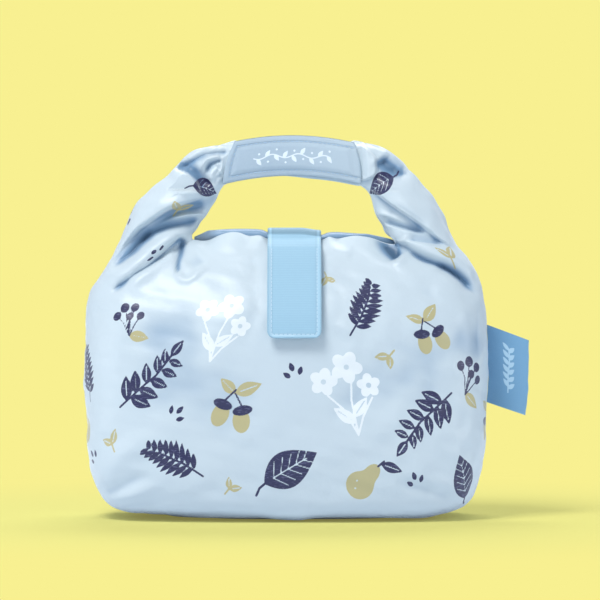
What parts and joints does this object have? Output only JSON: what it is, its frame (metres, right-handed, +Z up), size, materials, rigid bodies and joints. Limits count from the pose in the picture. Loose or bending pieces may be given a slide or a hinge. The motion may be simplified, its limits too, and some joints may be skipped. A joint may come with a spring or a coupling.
{
  "type": "food bag",
  "caption": "Soft printed-fabric food bag with a rolled mouth, a hook-and-loop tab, gathered arms that lap into a grip band, and a woven side label.",
  "frame": {"origin": "middle of the flat base, on the surface the bag stands on", "axes": "+X to the bag's right seen from the front, -Y out of the front with the closure tab, +Z up"},
  "size_m": [0.2533, 0.1129, 0.217],
  "materials": {
    "printed_fabric": "smooth satin-like woven shell cloth, pale blue with a scattered plant print in navy, khaki and white",
    "tab_webbing": "close woven tape, sky blue, stitched along its edge",
    "grip_cloth": "matt brushed cloth, grey-blue, padded and edge-stitched",
    "label_cloth": "woven satin label, mid blue, bare",
    "hook_loop_tape": "hook-and-loop pile, pale blue",
    "liner_film": "wipe-clean food-safe film, off-white",
    "stud_plastic": "moulded press studs, white",
    "seam_binding": "narrow binding tape, pale blue"
  },
  "bodies": {
    "bag": {"front_panel": "printed_fabric", "back_panel": "printed_fabric", "base_panel": "printed_fabric", "seam_tape_left": "seam_binding", "seam_tape_right": "seam_binding", "inner_liner": "liner_film", "snap_socket_left": "stud_plastic", "snap_stud_left": "stud_plastic", "snap_socket_right": "stud_plastic", "snap_stud_right": "stud_plastic", "shoulder_left": "printed_fabric", "shoulder_right": "printed_fabric", "front_loop_patch": "hook_loop_tape"},
    "mouth_roll": {"rolled_mouth": "printed_fabric", "tab_anchor": "tab_webbing"},
    "tab": {"closure_tab": "tab_webbing", "tab_hook_patch": "hook_loop_tape"},
    "left_arm": {"arm_left": "printed_fabric", "grip_anchor": "grip_cloth"},
    "grip_flap": {"grip_front_panel": "grip_cloth", "grip_hook_patch": "hook_loop_tape"},
    "right_arm": {"arm_right": "printed_fabric", "grip_back_panel": "grip_cloth", "grip_loop_patch": "hook_loop_tape"},
    "label": {"side_label": "label_cloth"}
  },
  "joints": [
    {"name": "mouth_lift", "type": "hinge", "parent": "bag", "child": "mouth_roll", "pos_m": [0, 0.0128, 0.1583], "axis": [-1, 0, 0], "range_deg": [0, 25]},
    {"name": "tab_peel", "type": "hinge", "parent": "mouth_roll", "child": "tab", "pos_m": [0.0025, -0.01011, 0.16317], "axis": [-1, 0, 0], "range_deg": [0, 100]},
    {"name": "left_arm_swing", "type": "hinge", "parent": "bag", "child": "left_arm", "pos_m": [-0.07455, 0, 0.16456], "axis": [0, -1, 0], "range_deg": [0, 45], "deforming": ["shoulder_left"]},
    {"name": "right_arm_swing", "type": "hinge", "parent": "bag", "child": "right_arm", "pos_m": [0.0738, 0, 0.16189], "axis": [0, 1, 0], "range_deg": [0, 45], "deforming": ["shoulder_right"]},
    {"name": "grip_flap_peel", "type": "hinge", "parent": "left_arm", "child": "grip_flap", "pos_m": [-0.029, -0.008, 0.194], "axis": [0, 0, -1], "range_deg": [0, 100]},
    {"name": "side_label_flap", "type": "hinge", "parent": "bag", "child": "label", "pos_m": [0.11216, 0, 0.088], "axis": [0, 0, 1], "range_deg": [-50, 50]}
  ]
}
